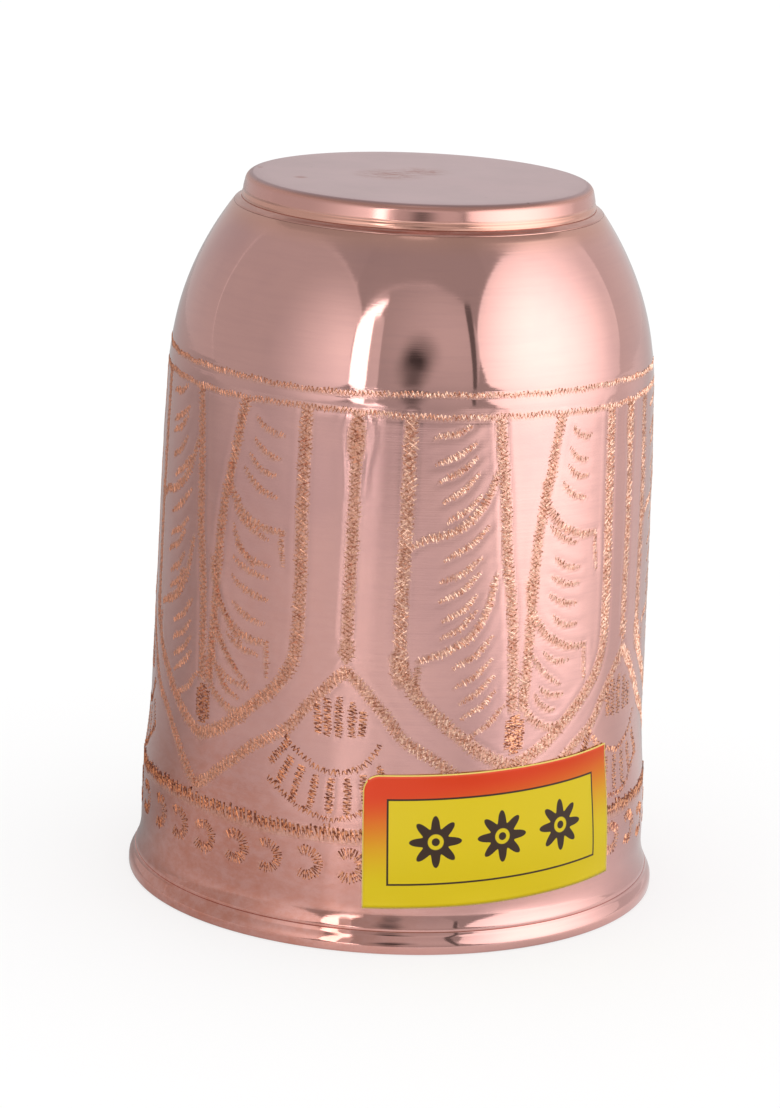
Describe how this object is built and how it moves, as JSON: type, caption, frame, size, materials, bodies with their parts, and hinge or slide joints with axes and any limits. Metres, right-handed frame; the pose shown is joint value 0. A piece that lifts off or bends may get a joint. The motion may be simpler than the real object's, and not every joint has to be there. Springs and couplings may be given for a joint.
{
  "type": "copper tumbler",
  "caption": "Spun copper drinking tumbler with engraved leaf panels, a flared lip and a stepped foot disc, shown standing on its mouth.",
  "frame": {"origin": "on the tumbler's axis, in the plane of the mouth that it stands on", "axes": "+Z along the axis from the mouth to the base; -Y is the side that the picture shows"},
  "size_m": [0.075, 0.075, 0.1],
  "materials": {
    "engraved_copper": "bright spun copper, fine turning lines, wriggle-cut engraving",
    "lip_copper": "bright polished copper with light tarnish",
    "foot_copper": "dull satin copper with small specks",
    "brazing_metal": "copper-coloured brazing metal, a little browner than the sheet from the torch",
    "printed_paper": "semi-gloss printed paper, orange-red fading to yellow"
  },
  "bodies": {
    "root": {"body_shell": "engraved_copper", "mouth_band": "lip_copper", "base_cap": "foot_copper", "base_braze": "brazing_metal", "paper_label": "printed_paper"}
  },
  "joints": []
}
